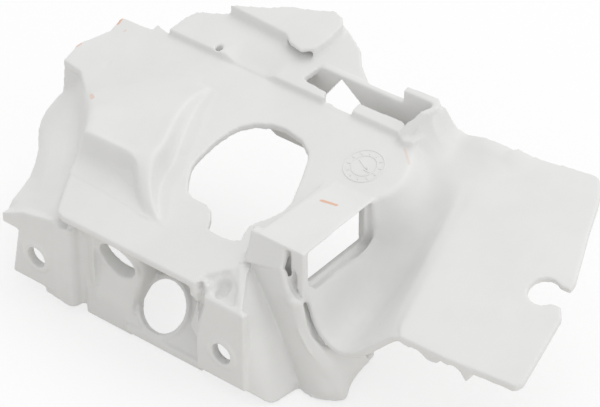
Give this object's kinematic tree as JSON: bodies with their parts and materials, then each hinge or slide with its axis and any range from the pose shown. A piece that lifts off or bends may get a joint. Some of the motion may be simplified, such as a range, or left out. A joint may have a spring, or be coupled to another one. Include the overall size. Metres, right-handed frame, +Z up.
{
  "type": "engine air guide shroud",
  "caption": "Light-grey moulded plastic air guide shroud with a tilted top plate, a raised bulge, a windowed hood, a deep scoop and a notched side flange.",
  "frame": {"origin": "centre of the left screw hole, in the front face of its ring", "axes": "+X along the front wall to the scoop and flange, +Y to the back, +Z up from the surface the part stands on"},
  "size_m": [0.1963, 0.0986, 0.07],
  "materials": {
    "resin": "satin light grey moulded polypropylene"
  },
  "bodies": {
    "root": {"shroud": "resin"}
  },
  "joints": []
}
